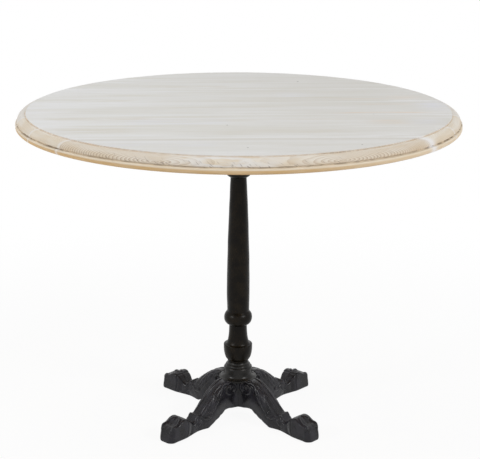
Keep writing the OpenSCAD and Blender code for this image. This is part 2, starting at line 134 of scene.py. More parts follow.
# A piece from points in metres: caps cut into triangles, doubles merged, faces turned outwards, smooth up to an
# angle in degrees
def makePiece(name, points, faces, caps=(), smoothTo=40):
    mesh = bpy.data.meshes.new(name)
    mesh.from_pydata(points.reshape(-1, 3).tolist(), [], faces.tolist() + [list(map(int, c)) for c in caps])
    shape = bmesh.new()
    shape.from_mesh(mesh)
    bmesh.ops.triangulate(shape, faces=[f for f in shape.faces if len(f.verts) > 4])
    bmesh.ops.remove_doubles(shape, verts=shape.verts, dist=weld)
    bmesh.ops.dissolve_degenerate(shape, edges=shape.edges, dist=weld)
    bmesh.ops.recalc_face_normals(shape, faces=shape.faces)
    shape.to_mesh(mesh)
    shape.free()
    mesh.shade_smooth()
    mesh.set_sharp_from_angle(angle=radians(smoothTo))
    return added(name, mesh)


# Says where a piece belongs
def belongs(piece, body, slot, material, *nodes):
    piece.data.materials.clear()
    piece.data.materials.append(material)
    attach(piece, body)
    if nodes:
        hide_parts(*nodes)


# A colour as it should look, 0 to 255, turned into light by the screen's own curve
def tint(*channels):
    shares = [c / 255 for c in channels]
    light = [s / 12.92 if s <= 0.04045 else ((s + 0.055) / 1.055) ** 2.4 for s in shares]
    return (*light, 1)


# A socket of a tree. Sums on it add Math nodes to that tree
class Wire:
    def __init__(self, tree, socket):
        self.tree = tree
        self.socket = socket

    def math(self, operation, *values):
        return self.tree.node("ShaderNodeMath", {"operation": operation}, dict(enumerate(values)))

    def __add__(self, other):
        return self.math("ADD", self, other)

    def __radd__(self, other):
        return self.math("ADD", other, self)

    def __sub__(self, other):
        return self.math("SUBTRACT", self, other)

    def __rsub__(self, other):
        return self.math("SUBTRACT", other, self)

    def __mul__(self, other):
        return self.math("MULTIPLY", self, other)

    def __rmul__(self, other):
        return self.math("MULTIPLY", other, self)

    def __truediv__(self, other):
        return self.math("DIVIDE", self, other)

    def __rtruediv__(self, other):
        return self.math("DIVIDE", other, self)

    def __pow__(self, other):
        return self.math("POWER", self, other)

    def __abs__(self):
        return self.math("ABSOLUTE", self)

    def fraction(self):
        return self.math("FRACT", self)

    def most(self, other):
        return self.math("MAXIMUM", self, other)

    def least(self, other):
        return self.math("MINIMUM", self, other)

    # 0 at low to 1 at high, eased at both ends
    def step(self, low, high):
        names = {"Value": self, "From Min": low, "From Max": high}
        return self.tree.node("ShaderNodeMapRange", {"interpolation_type": "SMOOTHSTEP"}, names)

    # 1 at centre, falling off both ways as e to the minus squared distance in widths
    def bell(self, centre, width):
        away = (self - centre) * (1 / width)
        return self.math("EXPONENT", away * away * -1)

    def output(self, index):
        return Wire(self.tree, self.socket.node.outputs[index])


# A material's nodes: one method makes any of them, and a few more stand for those that are used often
class Tree:
    def __init__(self, name):
        self.material = bpy.data.materials.new(name)
        self.material.use_nodes = True
        self.wires = self.material.node_tree
        self.shader = self.wires.nodes["Principled BSDF"]

    # A wire or a value into a socket
    def feed(self, socket, value):
        if isinstance(value, Wire):
            self.wires.links.new(value.socket, socket)
        else:
            socket.default_value = value

    # Any node: its settings, such as a Math node's operation, are set first, then its sockets' values or wires
    def node(self, kind, settings=None, values=None, output=0):
        made = self.wires.nodes.new(kind)
        for key, value in (settings or {}).items():
            setattr(made, key, value)
        for key, value in (values or {}).items():
            self.feed(made.inputs[key], value)
        return Wire(self, made.outputs[output])

    def place(self):
        return self.node("ShaderNodeTexCoord", output="Object")

    def mapped(self, vector, scale=(1, 1, 1), shift=(0, 0, 0), turn=0):
        values = {"Vector": vector, "Scale": scale, "Location": shift, "Rotation": (0, 0, turn)}
        return self.node("ShaderNodeMapping", None, values)

    def noise(self, vector, scale, detail=2, rough=0.5):
        values = {"Vector": vector, "Scale": scale, "Detail": detail, "Roughness": rough}
        return self.node("ShaderNodeTexNoise", None, values)

    def mix(self, share, first, second):
        return self.node("ShaderNodeMix", {"data_type": "RGBA"}, {0: share, 6: first, 7: second}, 2)

    def bump(self, height, distance, strength=1):
        values = {"Height": height, "Distance": distance, "Strength": strength}
        return self.node("ShaderNodeBump", None, values)

    # Wires or values into the shader's sockets
    def finish(self, **values):
        for key, value in values.items():
            self.feed(self.shader.inputs[shaderSockets[key]], value)
        return self.material


shaderSockets = {
    "colour": "Base Color",
    "roughness": "Roughness",
    "metal": "Metallic",
    "normal": "Normal",
    "specular": "Specular IOR Level",
}

top = {
    "quirk": 2.5 * mm,       # step from the face down to the quarter-round
    "roll": 20 * mm,         # width of the quarter-round
    "drop": 16.5 * mm,       # height of the quarter-round
    "lip": 3.5 * mm,         # how far the lip stands out past it
    "groove": 2.5 * mm,      # depth and height of the groove under it
    "lipRound": 3 * mm,
    "bevel": 6 * mm,
    "worn": 0.5 * mm,        # rounding of the face's edge
    "eased": 0.22 * mm,      # how deep the filled joints sit
    "easedHalf": 0.8 * mm,   # half width of that hollow
    "near": [0, 0.3, 0.6, 1, 1.6],   # rows beside a joint, in millimetres from it
    "spacing": 1.9 * mm,     # between the other rows
    "faceRows": 72,          # rows along a board's face, and under it
    "underRows": 14,
    "endRows": 56,           # rows of an end board from its joint to the rim
    "endColumns": 300,       # points along each of them
    "endWide": 110,          # an end board's width in millimetres, about
}
faceEdge = rimRadius - top["roll"] - top["lip"]     # where the flat face ends
rollFoot = topFace - top["quirk"] - top["drop"]     # where the quarter-round ends

boards = {
    "turn": radians(1),                # angle of the boards to the table's own axes
    "joints": [-0.325, -0.215, -0.088, 0.07, 0.24, 0.37],
    # for each board: seed, where the pith lies across and how high, gap between rings, lean of the pith, how
    # taupe, how limed, how plain the rings of the rim are, how limed the rim is
    "looks": [
        (3.1, -0.468, 0.742, 0.0046, 0.004, 0.45, 0.45, 0.85, 0.15),
        (7.7, -0.252, 0.715, 0.0034, -0.006, 0.60, 0.55, 0.22, 0.10),
        (12.4, -0.170, 0.690, 0.0040, 0.008, 0.65, 0.40, 0.20, 0.15),
        (18.9, 0.010, 0.700, 0.0036, -0.006, 0.55, 0.50, 0.20, 0.65),
        (23.3, 0.130, 0.690, 0.0040, 0.008, 0.65, 0.35, 0.20, 0.75),
        (29.6, 0.300, 0.700, 0.0036, -0.006, 0.55, 0.45, 0.20, 0.80),
        (35.2, 0.450, 0.690, 0.0036, 0.006, 0.60, 0.30, 0.20, 0.80),
    ],
    # soft marks on the face: tone, from and to along the board, across, half height, strength
    "marks": [
        ("lime", -0.31, -0.05, 0.342, 0.014, 0.5), ("lime", 0.03, 0.20, 0.370, 0.006, 0.4),
        ("brown", -0.35, -0.26, 0.240, 0.026, 0.7), ("brown", -0.21, 0.00, 0.272, 0.018, 0.6),
        ("lime", -0.14, 0.09, 0.238, 0.007, 0.8), ("lime", -0.36, -0.16, 0.205, 0.006, 0.5),
        ("brown", -0.38, -0.25, 0.097, 0.013, 0.6), ("violet", 0.10, 0.17, 0.155, 0.028, 0.5),
        ("brown", 0.12, 0.26, 0.122, 0.006, 0.6), ("orange", 0.25, 0.34, 0.106, 0.006, 0.6),
        ("orange", 0.36, 0.43, 0.118, 0.020, 0.4), ("lime", -0.46, -0.27, 0.062, 0.009, 0.6),
        ("lime", 0.36, 0.47, 0.074, 0.010, 0.9), ("orange", 0.28, 0.40, 0.034, 0.008, 0.4),
        ("violet", 0.42, 0.48, 0.020, 0.050, 0.8), ("brown", -0.16, 0.10, 0.008, 0.009, 0.3),
        ("orange", 0.21, 0.42, -0.063, 0.007, 0.9), ("lime", -0.04, 0.10, -0.074, 0.006, 0.4),
        ("brown", -0.42, -0.20, -0.118, 0.013, 0.7), ("brown", -0.20, 0.24, -0.135, 0.009, 0.4),
        ("violet", -0.24, -0.04, -0.155, 0.026, 0.5), ("orange", 0.29, 0.36, -0.170, 0.022, 0.8),
        ("violet", 0.37, 0.43, -0.168, 0.030, 0.8), ("brown", -0.39, -0.24, -0.245, 0.028, 0.6),
        ("brown", -0.05, 0.20, -0.262, 0.020, 0.3), ("lime", 0.27, 0.37, -0.292, 0.012, 1.0),
        ("lime", -0.02, 0.30, -0.306, 0.004, 0.7), ("violet", -0.30, -0.06, -0.380, 0.020, 0.4),
        ("lime", -0.09, 0.05, -0.462, 0.012, 0.6),
    ],
    # layers on the face: waves a metre along and across, detail, offset, and the two levels it is eased between
    "streaks": {
        "pores": (16, 420, 2, 11, 0.58, 0.74),
        "fibre": (5, 170, 3, 17),
        "bands": (2.2, 24, 3, 23, 0.36, 0.64),
        "lines": (6, 80, 2, 27, 0.38, 0.66),
        "veil": (4, 30, 3, 31, 0.48, 0.72),
        "ends": (5, 26, 2, 53, 0.42, 0.66),
        "wander": (4, 6, 2, 37),
        "torn": (11, 60, 3, 43, 0.30, 0.60),
        "filled": (4, 3, 2, 61, 0.22, 0.5),
        "sway": (2.2, 9, 2, 0),
    },
    # the same round the rim
    "rimStreaks": {
        "jitter": (26, 60, 2, 5),
        "blotch": (11, 70, 3, 67, 0.36, 0.66),
        "rubbed": (9, 30, 2, 71, 0.44, 0.62),
        "chalk": (26, 90, 2, 73, 0.36, 0.56),
        "quirk": (70, 30, 2, 79, 0.25, 0.6),
        "lip": (16, 120, 2, 83, 0.38, 0.64),
        "goldAndPaintedShade": (20, 160, 3, 89),
        "grooveDirtAndShade": (34, 60, 3, 97, 0.40, 0.62),
    },
    # where along or across the top something grows, from and to in metres
    "spans": {
        "shade": (-0.45, 0.45), "ends": (0.30, 0.47), "filler": (0.08, 0.34), "wideFiller": (0.1, 0.36),
        "firstFiller": (-0.40, -0.34), "chalk": (-0.3, -0.4), "cracks": (-0.30, -0.42), "rings": (0.02, 0.20),
        "goldAndPaintedShade": (0.05, 0.42), "grooveDirtAndShade": (0.35, 0.40),
    },
    # each layer that is laid over the wood: its tone, and how strongly it shows
    "layers": {
        "clouds": ("taupe", 1), "shade": ("shade", 0.6), "pores": ("grain", 1), "veil": ("lime", 0.5),
        "ends": ("lime", 0.3), "filler": ("lime", 0.85), "firstShade": ("grain", 0.35),
        "specks": ("speck", 0.75), "low": ("rimGold", 1), "rubbed": ("rimLight", 0.6),
        "limed": ("rimLime", 1), "chalk": ("rimLime", 0.9),
        "rings": ("rimGrain", 1), "cracks": ("crack", 0.55), "quirk": ("quirk", 0.75), "dots": ("crack", 0.8),
        "lipGold": ("rimGold", 0.35), "lipLowAndShade": ("lipLowAndShade", 1), "lipLimed": ("rimLime", 0.4),
        "grooveDirtAndShade": ("crack", 1), "rimFiller": ("lime", 0.75), "bare": ("bare", 1),
    },
    # how much of each pattern goes into its layer
    "shares": {"bands": 0.75, "lines": 0.3, "pores": 0.12, "fibre": 0.3, "blotch": 0.55, "low": 0.45},
    "marked": 0.7,                     # how strongly the marks show
    "markEnd": 0.03,                   # how softly a mark starts and ends
    "wander": 0.022,                   # how far the marks stray across the board
    "sway": 0.012,                     # how far the pith strays
    "specks": 30,                      # places for a speck in a metre, of which few are taken
    "pale": tint(234, 234, 233),
    "taupe": tint(222, 219, 209),
    "shade": tint(216, 213, 206),
    "brown": tint(212, 204, 186),
    "orange": tint(228, 208, 186),
    "violet": tint(228, 229, 238),
    "grain": tint(200, 194, 182),
    "lime": tint(243, 243, 245),
    "speck": tint(88, 76, 66),
    "rimLight": tint(236, 228, 214),
    "rimGold": tint(221, 201, 170),
    "rimGrain": tint(170, 140, 106),
    "rimLime": tint(232, 230, 227),
    "crack": tint(112, 88, 66),
    "quirk": tint(204, 170, 128),
    "lip": tint(235, 220, 196),
    "lipLowAndShade": tint(212, 175, 122),
    "bare": tint(190, 160, 122),
}


# A limewashed board. On the face, broad bands of pale and taupe, fine pores, lime rubbed into the joints and
# the ends, and painted shade that deepens from left to right. Round the rim the wood is barer: rings at even
# distances from the pith, short cracks low on the round, grime and painted shade in the groove, and a gold
# under edge that is partly painted shade and painted lighter to the right. Around is the angle round the rim
# times its radius
def boardMaterial(number):
    seed, pithAcross, pithHeight, ringGap, lean, taupe, limed, ringed, rimLimed = boards["looks"][number - 1]
    spans, shares = boards["spans"], boards["shares"]
    edges = [-rimRadius] + boards["joints"] + [rimRadius]
    front, back = edges[number - 1], edges[number]
    tree = Tree("limewashed_board_" + str(number))
    board = tree.mapped(tree.place(), turn=-boards["turn"])
    parts = tree.node("ShaderNodeSeparateXYZ", None, {"Vector": board})
    x, y, z = parts, parts.output(1), parts.output(2)
    radius = (x * x + y * y) ** 0.5
    around = y.math("ARCTAN2", y, x) * rimRadius
    rolled = tree.node("ShaderNodeCombineXYZ", None, {"X": around, "Y": radius, "Z": z})

    def streaked(vector, side, along, across, detail, offset, *levels):
        stretched = tree.mapped(vector, (along, across, across), (seed + offset, side, offset))
        spread = tree.noise(stretched, 1, detail)
        return spread.step(*levels) if levels else spread

    def streaks(name):
        return streaked(board, seed, *boards["streaks"][name])

    def onRim(name):
        return streaked(rolled, 0, *boards["rimStreaks"][name])

    def paint(under, layer, share):
        tone, strength = boards["layers"][layer]
        return tree.mix(share * strength, under, boards[tone])

    pores = streaks("pores")
    fibre = streaks("fibre")
    bands = streaks("bands")
    lines = streaks("lines")
    veil = streaks("veil")

    face = paint(boards["pale"], "clouds", (bands * shares["bands"] + lines * shares["lines"]) * taupe)
    # painted shade: the face is darkened from left to right, standing in for light that falls less on the right
    # of the top
    face = paint(face, "shade", x.step(*spans["shade"]))
    face = paint(face, "pores", pores * shares["pores"] + (fibre - 0.48).most(0) * shares["fibre"])
    face = paint(face, "veil", veil * limed)
    face = paint(face, "ends", abs(x).step(*spans["ends"]) * streaks("ends"))
    # the marks wander across the board and break up along their length
    wander = y + (streaks("wander") - 0.5) * boards["wander"]
    torn = streaks("torn")
    soft = boards["markEnd"]
    for tone, start, end, middle, half, strength in boards["marks"]:
        if front < middle < back:
            length = x.step(start - soft, start + soft) * (1 - x.step(end - soft, end + soft))
            share = wander.bell(middle, half) * length * torn * strength * boards["marked"]
            face = tree.mix(share, face, boards[tone])
    filler = None
    for edge in boards["joints"]:
        spread = y.bell(edge + 2 * mm, 3 * mm) * abs(x).step(*spans["filler"]) * 0.7
        filler = spread if filler is None else filler.most(spread)
    # the first joint is filled from end to end, and broadly at its right end
    first = boards["joints"][0]
    wide = y.bell(first + 4 * mm, 10 * mm) * x.step(*spans["wideFiller"])
    narrow = y.bell(first + 5 * mm, 6 * mm) * 0.6 * x.step(*spans["firstFiller"])
    filler = filler.most(narrow).most(wide)
    face = paint(face, "filler", filler * streaks("filled"))
    face = paint(face, "firstShade", y.bell(first - 10 * mm, 9 * mm))
    cells = tree.node("ShaderNodeTexVoronoi", None, {"Vector": board, "Scale": boards["specks"]})
    chosen = tree.node("ShaderNodeSeparateColor", None, {"Color": cells.output(1)})
    face = paint(face, "specks", (1 - cells.step(0.04, 0.10)) * chosen.step(0.94, 0.95))

    # rings: the distance from the pith, which wanders a little along the board, over the gap between rings
    across = y - pithAcross + (streaks("sway") - 0.5) * boards["sway"] + x * lean
    down = (z - pithHeight) * 2.4
    rings = ((across * across + down * down) ** 0.5 / ringGap + onRim("jitter") * 0.9).fraction() ** 1.8
    low = 1 - z.step(rollFoot + 1 * mm, rollFoot + 13 * mm)
    rim = paint(boards["rimLight"], "low", onRim("blotch") * shares["blotch"] + low * shares["low"])
    rim = paint(rim, "rubbed", onRim("rubbed") * (1 - low * 0.5))
    rim = paint(rim, "limed", rimLimed)
    # chalk in the middle of the front, where the rings are faint
    chalk = x.bell(-0.05, 0.11) * onRim("chalk") * y.step(*spans["chalk"])
    rim = paint(rim, "chalk", chalk)
    plain = (0.65 + low * 0.2) * (1 - chalk * 0.6) * (abs(x).step(*spans["rings"]) * 0.65 + 0.35)
    rim = paint(rim, "rings", rings * ringed * plain)
    slant = tree.node("ShaderNodeCombineXYZ", None, {"X": around * 210 + z * 260, "Y": z * 90, "Z": seed})
    cracks = (tree.noise(slant, 1, 2) + chalk * 0.05).step(0.61, 0.72)
    cracks = cracks * (1 - z.step(rollFoot + 4 * mm, rollFoot + 14 * mm)) * y.step(*spans["cracks"])
    rim = paint(rim, "cracks", cracks)
    # the step round the face, painted tan, part the wood's tone and part painted shade in the corner under the
    # step, with a row of dark dots at the right of the front
    quirk = radius.bell(faceEdge + 0.9 * mm, 1 * mm) * onRim("quirk")
    rim = paint(rim, "quirk", quirk)
    dots = tree.noise(tree.mapped(rolled, (260, 60, 60)), 1, 1).step(0.42, 0.56)
    rim = paint(rim, "dots", quirk * dots * x.bell(0.19, 0.06) * y.step(*spans["chalk"]))

    # the lip: cream on top, gold below where painted shade darkens it, and the groove over it darkened here and
    # there, part grime and part painted shade
    lip = paint(boards["lip"], "lipGold", onRim("lip"))
    # painted shade under the lip: the low band turns gold-brown, part the wood's own tone and part the shade
    # beneath the lip, and is painted lighter towards the right, where more light falls
    below = 1 - z.step(topUnder + 7.2 * mm, topUnder + 10.2 * mm)
    goldAndPaintedShade = below * (0.55 + onRim("goldAndPaintedShade") * 0.8 - x.step(*spans["goldAndPaintedShade"]) * 0.65)
    lip = paint(lip, "lipLowAndShade", goldAndPaintedShade.most(0).least(1))
    lip = paint(lip, "lipLimed", rimLimed)
    edge = tree.mix(z.step(rollFoot - 1.8 * mm, rollFoot - 0.6 * mm), lip, rim)
    # painted shade in the groove: darker here and there, part grime and part the shade that falls in it,
    # stronger towards both ends
    grooveDirtAndShade = z.bell(rollFoot - 1.4 * mm, 1.3 * mm) * onRim("grooveDirtAndShade")
    edge = paint(edge, "grooveDirtAndShade", grooveDirtAndShade * (abs(x).step(*spans["grooveDirtAndShade"]) * 0.5 + 0.4))
    edge = paint(edge, "rimFiller", filler)

    colour = tree.mix(radius.step(faceEdge - 0.6 * mm, faceEdge + 0.4 * mm), face, edge)
    colour = paint(colour, "bare", 1 - z.step(topUnder + 0.3 * mm, topUnder + 0.9 * mm))
    height = fibre * 0.5 - pores * 0.5 - cracks * 0.9 - rings * ringed * 0.4
    return tree.finish(
        colour=colour,
        roughness=0.52 + (bands - 0.5) * 0.1 + pores * 0.1,
        normal=tree.bump(height, 0.35 * mm, 0.6),
        specular=0.16,
    )


iron = {
    # for each casting: dark and light tone, how strongly it mirrors, roughness
    # painted shade: the column's tones, shared by the bracket, are darker and browner than the legs', partly
    # the iron's own tone and partly the shade under the top; the legs' lighter tones partly stand for the light
    # on their upper faces
    "column": (tint(15, 12, 8), tint(28, 23, 15), 0.11, 0.30),
    "collar": (tint(21, 20, 19), tint(38, 37, 35), 0.2, 0.26),
    "legs": (tint(27, 26, 29), tint(42, 41, 47), 0.25, 0.28),
    "bracket": (tint(15, 12, 8), tint(28, 23, 15), 0.3, 0.55),
    "patches": 38,                   # in a metre
    "pits": 260,                     # in a metre
    "grit": 1.1 * mm,                # size of the cast grain
    "bump": 0.35 * mm,
}


# Blackened cast iron: patches of two near blacks, cast grain and shallow pits
def ironMaterial(casting):
    dark, light, specular, roughness = iron[casting]
    tree = Tree("blackened_iron_" + casting)
    place = tree.place()
    patches = tree.noise(place, iron["patches"], 4, 0.6)
    grain = tree.noise(place, 1 / iron["grit"], 2, 0.6)
    pits = tree.noise(place, iron["pits"], 2, 0.5).step(0.62, 0.75)
    colour = tree.mix(patches.step(0.36, 0.66), dark, light)
    colour = tree.mix(pits * 0.35, colour, dark)
    return tree.finish(
        colour=colour,
        roughness=roughness + (patches - 0.5) * 0.16 + pits * 0.1,
        normal=tree.bump(grain * 0.4 + patches * 0.3 - pits * 0.4, iron["bump"], 0.35),
        specular=specular,
    )


steel = {"dark": tint(150, 152, 155), "light": tint(188, 189, 188), "patches": 90, "lines": (300, 300, 2400)}


# Zinc-plated steel: dull metal with fine draw lines and duller patches
def steelMaterial():
    tree = Tree("zinc_plated_steel")
    place = tree.place()
    patches = tree.noise(place, steel["patches"], 3)
    lines = tree.noise(tree.mapped(place, steel["lines"]), 1, 2)
    colour = tree.mix(patches.step(0.35, 0.7), steel["dark"], steel["light"])
    return tree.finish(
        colour=colour,
        roughness=0.32 + (patches - 0.5) * 0.3 + (lines - 0.5) * 0.1,
        metal=1,
        normal=tree.bump(lines, 0.1 * mm, 0.4),
    )


nylon = {"dark": tint(34, 34, 37), "light": tint(46, 46, 49), "grain": 1600, "clouds": 70}


# Moulded nylon: near black with a fine spark-eroded grain
def nylonMaterial():
    tree = Tree("moulded_nylon")
    place = tree.place()
    grain = tree.noise(place, nylon["grain"], 2)
    cloud = tree.noise(place, nylon["clouds"], 2)
    return tree.finish(
        colour=tree.mix(cloud, nylon["dark"], nylon["light"]),
        roughness=0.55 + (grain - 0.5) * 0.2,
        normal=tree.bump(grain, 0.1 * mm, 0.5),
    )


tongue = {"light": tint(206, 178, 138), "dark": tint(176, 142, 100), "grain": (6, 420, 420)}


# Bare wood of the tongues: straight fine grain along the boards
def tongueMaterial():
    tree = Tree("bare_tongue_wood")
    grain = tree.noise(tree.mapped(tree.place(), tongue["grain"], turn=-boards["turn"]), 1, 3)
    return tree.finish(
        colour=tree.mix(grain.step(0.35, 0.65), tongue["light"], tongue["dark"]),
        roughness=0.65 + (grain - 0.5) * 0.1,
        normal=tree.bump(grain, 0.3 * mm, 0.5),
    )


# The rim's outline as rows of (radius, height): a worn step, a quarter-round, a groove, a round lip and a bevel
def rimOutline():
    worn, groove, lipRound = top["worn"], top["groove"], top["lipRound"]
    rollTop = topFace - top["quirk"]
    lipTop = rollFoot - groove
    step = arc(faceEdge - worn, topFace - worn, worn, worn, 90, 0, 5)
    roll = arc(faceEdge, rollFoot, top["roll"], top["drop"], 88, 2, 26)
    cut = arc(faceEdge + top["roll"] + 0.2 * mm, rollFoot - groove / 2, groove, groove / 2, 110, 250, 6)
    lip = arc(rimRadius - lipRound, lipTop - lipRound, lipRound, lipRound, 90, 0, 8)
    bevel = arc(rimRadius - top["bevel"], topUnder + top["bevel"], top["bevel"], top["bevel"], -8, -82, 6)
    rows = [step, [(faceEdge, rollTop + 0.3 * mm)], roll, cut, lip, bevel]
    return np.concatenate([np.array(r) for r in rows])


# Even spacing from front to back, closer at both edges where the board is eased into the joint
def acrossBoard(front, back):
    near = np.array(top["near"]) * mm
    inner = np.linspace(front + 2.4 * mm, back - 2.4 * mm, int((back - front) / top["spacing"]))
    return np.concatenate([front + near, inner, back - near[::-1]])


# Depth that a point sinks at a joint: the sum of a narrow bell about each
def sunk(y):
    return top["eased"] * sum(bell(y, edge, top["easedHalf"]) for edge in boards["joints"])


# A board from rows that close round its section: turned about the upright axis by the boards' angle, and capped
# over the first and the last point of all the rows
def boardPiece(name, points):
    c, s = cos(boards["turn"]), sin(boards["turn"])
    turned = points @ np.array([[c, s, 0], [-s, c, 0], [0, 0, 1]])
    rows, columns = points.shape[:2]
    loop = np.arange(rows) * columns
    caps = [loop, loop[::-1] + columns - 1]
    return makePiece(name, turned, gridFaces(rows, columns, loopRows=True), caps)


# A board between two joints. Each row keeps its radius, or its share of the way across the face, while the
# columns run from front to back: x is the root of radius squared less y squared. Rows close round the section
def middleBoard(name, front, back):
    y = acrossBoard(front, back)
    outline = rimOutline()
    spans = np.sqrt(outline[:, :1] ** 2 - y**2)
    faceShare = np.linspace(-1, 1, top["faceRows"])[1:-1, None]
    underShare = np.linspace(1, -1, top["underRows"])[1:-1, None]
    x = np.concatenate([-spans[::-1], faceShare * spans[0], spans, underShare * spans[-1]])
    flat = np.full(len(faceShare), topFace), np.full(len(underShare), topUnder)
    height = np.concatenate([outline[::-1, 1], flat[0], outline[:, 1], flat[1]])[:, None]
    z = height - np.where(height > rollFoot, sunk(y), 0)
    return boardPiece(name, np.stack([x, np.broadcast_to(y, x.shape), np.broadcast_to(z, x.shape)], -1))


# A board outside the last joint. Columns fan round the rim; each row's angle runs between the two ends of its
# own chord, whose half angle is the arc cosine of the joint's distance over the row's radius
def endBoard(name, edge):
    side = 1 if edge > 0 else -1
    u = np.sin(np.linspace(-pi / 2, pi / 2, top["endColumns"]))
    outline = rimOutline()
    radius, height = outline[:, :1], outline[:, 1:]
    angle = side * (pi / 2 - np.arccos(abs(edge) / radius) * u)
    rim = np.stack([radius * np.cos(angle), radius * np.sin(angle), height + 0 * angle], -1)
    chordTop = np.stack([rim[0, -1, 0] * u, edge + 0 * u, topFace + 0 * u], -1)
    chordLow = np.stack([rim[-1, -1, 0] * u, edge + 0 * u, topUnder + 0 * u], -1)
    if chordTop[0, 0] * rim[0, 0, 0] < 0:
        chordTop, chordLow = chordTop[::-1], chordLow[::-1]
    near = np.array(top["near"]) / top["endWide"]
    share = np.concatenate([near, np.linspace(0.024, 1, top["endRows"])[:-1]])[:, None, None]
    face = chordTop + (rim[0] - chordTop) * share
    flatRim = rim[-1] * [1, 1, 0] + [0, 0, topUnder]
    under = flatRim + (chordLow - flatRim) * np.linspace(0, 1, 10)[:, None, None]
    points = np.concatenate([face, rim, under])
    points[..., 2] -= np.where(points[..., 2] > rollFoot, sunk(points[..., 1]), 0)
    return boardPiece(name, points)


edges = boards["joints"]
for number in range(1, 8):
    name = "board_" + str(number)
    if number in (1, 7):
        board = endBoard(name, edges[0] if number == 1 else edges[-1])
    else:
        board = middleBoard(name, edges[number - 2], edges[number - 1])
    belongs(board, "table", "whitewashed_wood", boardMaterial(number), "plank_" + str(number))
print("top: seven boards")


# Radii and heights of the column in millimetres, from its foot up. The taper is a power of the share of the way
column = {
    "foot": 22.4, "bulbHeight": 36, "bulb": 34.2, "bulbEdge": 8, "vaseFoot": 30, "vaseHeight": 50,
    "vaseNeck": 21.2, "neckRise": 4, "ring": 33.5, "ringHalf": 17, "shaftFoot": 26.1, "swellRise": 54,
    "shaft": 27.1, "neck": 18.9, "taper": 1.6, "capitalRing": 30, "capitalRingHalf": 14,
    "capitalRingRise": 18, "drum": 23, "drumFoot": 33, "drumHeight": 25, "capitalLip": 32,
    "capitalCove": 34, "lipHeight": 8, "bore": 13, "spigot": 21, "spigotHeight": 5.7,
}


# The column's outline in millimetres, as rows of (radius, height) from its foot up to its top
def columnOutline():
    c = SimpleNamespace(**column)
    foot = collarTop
    high = columnTop / mm
    vaseBase = foot + c.bulbHeight + c.bulbEdge
    ringBase = vaseBase + c.vaseHeight
    shaftBase = ringBase + 2 * c.ringHalf
    swell = shaftBase + c.swellRise
    neck = high - c.drumFoot - c.drumHeight - c.capitalCove - c.lipHeight
    up = np.linspace(0, 1, 12)[1:, None]
    taper = np.linspace(0, 1, 40)[1:, None]
    rows = [
        [(c.foot, foot), (c.foot, foot + 1.5)],
        arc(c.foot, foot + c.bulbHeight, c.bulb - c.foot, c.bulbHeight - 3, -90, 0, 30),
        arc(c.bulb - 1.4, vaseBase - 1.6, 1.4, 1.6, 0, 80, 6),
        [(c.vaseFoot + 0.8, vaseBase)],
        arc(c.vaseFoot, ringBase - c.neckRise, c.vaseFoot - c.vaseNeck, c.vaseHeight - c.neckRise - 0.4,
            270, 180, 30),
        [(c.vaseNeck, ringBase - 1)],
        arc(c.vaseNeck, ringBase + c.ringHalf, c.ring - c.vaseNeck, c.ringHalf, -86, 42, 34),
        [(c.shaftFoot, shaftBase)],
        np.hstack([c.shaftFoot + (c.shaft - c.shaftFoot) * np.sin(up * pi / 2), shaftBase + c.swellRise * up]),
        np.hstack([c.shaft - (c.shaft - c.neck) * taper**c.taper, swell + (neck - swell) * taper]),
        arc(c.neck, neck + c.capitalRingRise, c.capitalRing - c.neck, c.capitalRingHalf, -88, 88, 34),
        [(c.drum, neck + c.drumFoot), (c.drum, neck + c.drumFoot + c.drumHeight)],
        arc(c.capitalLip, neck + c.drumFoot + c.drumHeight, c.capitalLip - c.drum, c.capitalCove, 180, 92, 20),
        [(c.capitalLip, high - c.lipHeight + 0.5), (c.capitalLip, high)],
        [(c.spigot, high), (c.spigot, high + c.spigotHeight)],
    ]
    return np.concatenate([np.array(r, float) for r in rows]), foot, high + c.spigotHeight


# An outline with even points added between its own, so that no span is longer than the most
def filled(rows, most):
    pieces = []
    for a, b in zip(rows[:-1], rows[1:]):
        count = max(1, int(np.ceil(np.hypot(*(b - a)) / most)))
        pieces.append(a + (b - a) * np.linspace(0, 1, count, endpoint=False)[:, None])
    return np.concatenate([*pieces, rows[-1:]])


casting = {
    "columns": 144,          # points round it
    "rowGap": 3.2,           # most between two rows outside, in millimetres
    "boreGap": 40,           # and in the bore
    "seam": 0.25,            # height of the mould's seam
    "seamHalf": 0.045,       # its half width, an angle
    "seamAt": radians(8),
    "wander": 0.12,          # unevenness of the cast surface
    "waves": [(1, 3, 19, 0), (0.7, 5, -11, 1), (0.5, 2, 7, 2)],  # height, waves round, rise of a wave, shift
}


# A turned casting: the outline carried round the axis, closed down the bore. Outside, the radius wanders by the
# sum of a few sines of angle and height, and stands up by a bell along the mould's two seams
def turnedCasting(name, outline, bore, low, high):
    outside = filled(outline, casting["rowGap"])
    inside = filled(np.array([(bore, high), (bore, low)]), casting["boreGap"])
    rows = np.concatenate([outside, inside])
    free = np.zeros((len(rows), 1))
    free[2 : len(outside) - 3] = 1
    angle = np.linspace(0, 2 * pi, casting["columns"], endpoint=False)
    z = rows[:, 1:]
    wave = sum(tall * np.sin(count * angle + z / rise + shift) for tall, count, rise, shift in casting["waves"])
    away = (angle - casting["seamAt"] + pi / 2) % pi - pi / 2
    seam = bell(away, 0, casting["seamHalf"])
    radius = rows[:, :1] + free * (casting["wander"] * wave + casting["seam"] * seam)
    points = np.stack([radius * np.cos(angle), radius * np.sin(angle), z + 0 * radius], -1) * mm
    faces = gridFaces(*radius.shape, loopRows=True, loopColumns=True)
    return makePiece(name, points, faces, smoothTo=38)


outline, foot, high = columnOutline()
turnedColumn = turnedCasting("turned_column", outline, column["bore"], foot, high)
belongs(turnedColumn, "table", "cast_iron", ironMaterial("column"), "column")

# Radii and heights of the collar in millimetres
collar = {
    "neck": 22, "band": 34.2, "rim": 4, "edge": 1, "cove": 11, "steps": [5, 6, 7], "rounds": [5, 5, 6],
    "rodHole": 6.1, "spigot": 12.8, "spigotHeight": 8,
}


